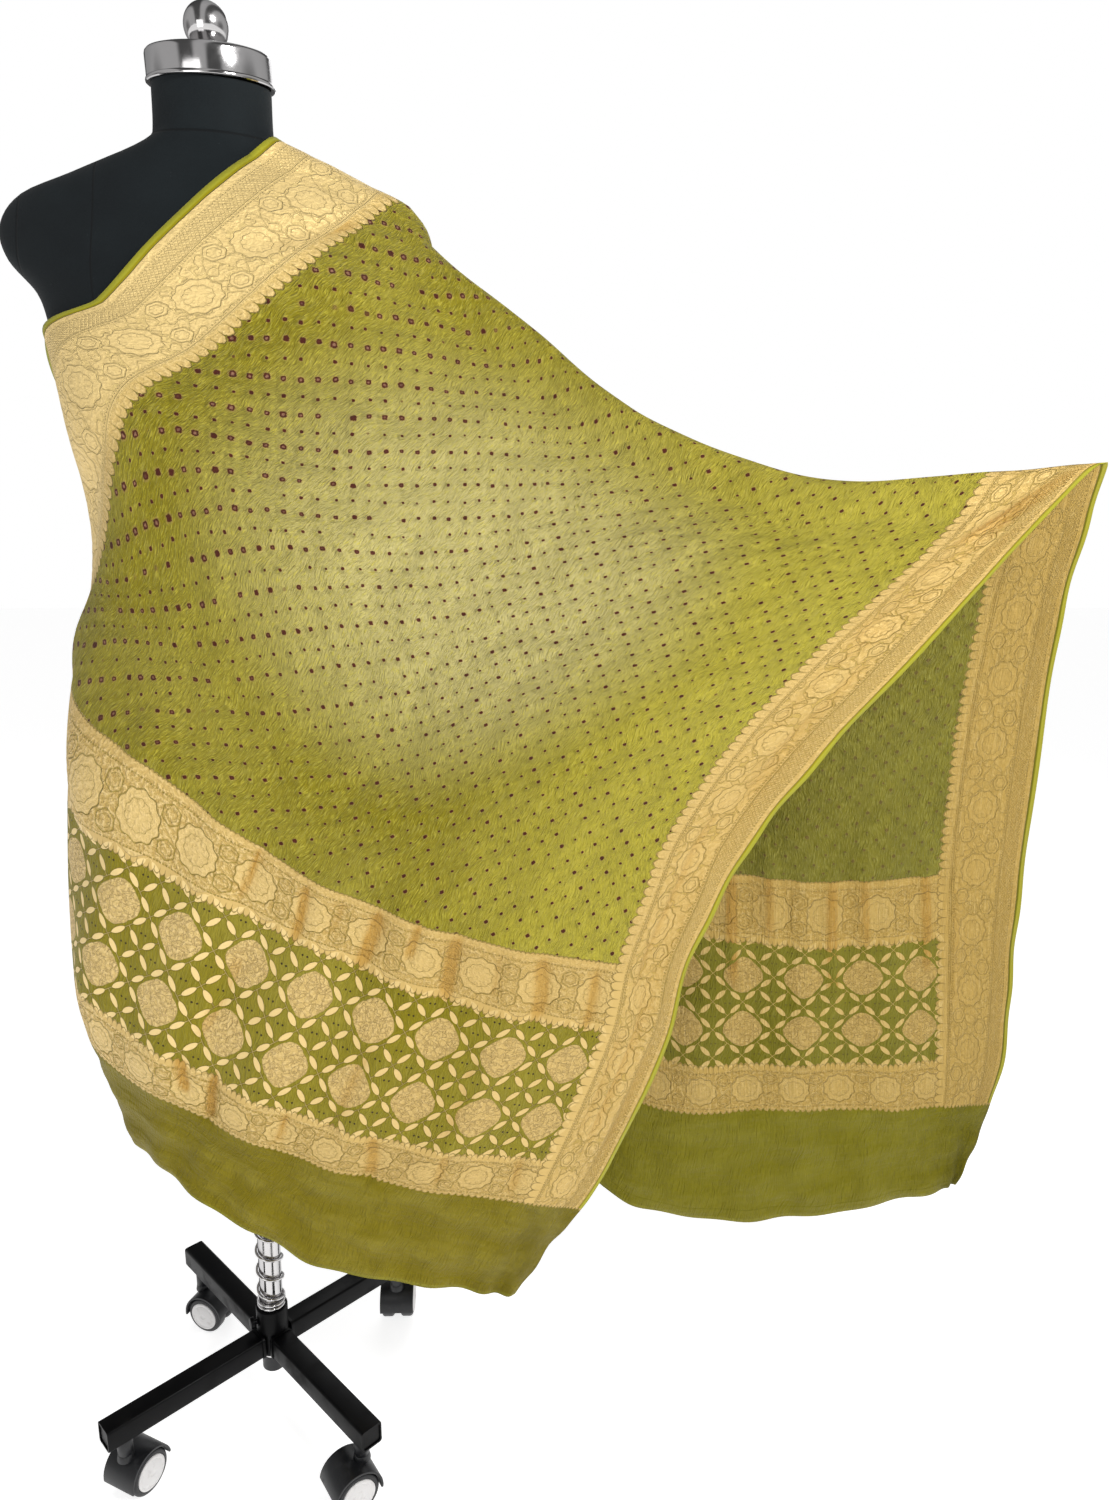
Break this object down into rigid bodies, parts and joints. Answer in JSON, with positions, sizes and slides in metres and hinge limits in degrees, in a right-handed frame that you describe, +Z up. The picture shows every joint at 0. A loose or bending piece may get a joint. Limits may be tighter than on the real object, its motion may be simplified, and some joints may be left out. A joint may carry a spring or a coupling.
{
  "type": "bandhani dupatta on a dress form stand",
  "caption": "Silk dupatta with woven gold borders and tie-dyed dots, hung over one shoulder of a dress form on a wheeled stand, its top corner held out to the side.",
  "frame": {"origin": "middle of the bottom of the whole thing's box, at floor level", "axes": "+Z up, -Y towards the viewer who sees the cloth's right side, +X towards the corner that is held out"},
  "size_m": [1.1188, 0.3522, 1.5598],
  "materials": {
    "silk": "soft sheen",
    "jersey": "matte",
    "chrome": "polished",
    "black_paint": "gloss",
    "black_plastic": "satin",
    "disc_plastic": "satin"
  },
  "bodies": {
    "root": {"torso": "jersey", "neck_cap": "chrome", "knob": "chrome", "post": "chrome", "post_wire": "chrome", "hub": "black_paint", "arm_1": "black_paint", "castor_stem_1": "chrome", "castor_body_1": "black_plastic", "castor_wheel_1_a": "black_plastic", "castor_wheel_1_b": "black_plastic", "castor_disc_1_a": "disc_plastic", "castor_disc_1_b": "disc_plastic", "arm_2": "black_paint", "castor_stem_2": "chrome", "castor_body_2": "black_plastic", "castor_wheel_2_a": "black_plastic", "castor_wheel_2_b": "black_plastic", "castor_disc_2_a": "disc_plastic", "castor_disc_2_b": "disc_plastic", "arm_3": "black_paint", "castor_stem_3": "chrome", "castor_body_3": "black_plastic", "castor_wheel_3_a": "black_plastic", "castor_wheel_3_b": "black_plastic", "castor_disc_3_a": "disc_plastic", "castor_disc_3_b": "disc_plastic", "arm_4": "black_paint", "castor_stem_4": "chrome", "castor_body_4": "black_plastic", "castor_wheel_4_a": "black_plastic", "castor_wheel_4_b": "black_plastic", "castor_disc_4_a": "disc_plastic", "castor_disc_4_b": "disc_plastic", "cloth": "silk"}
  },
  "joints": []
}
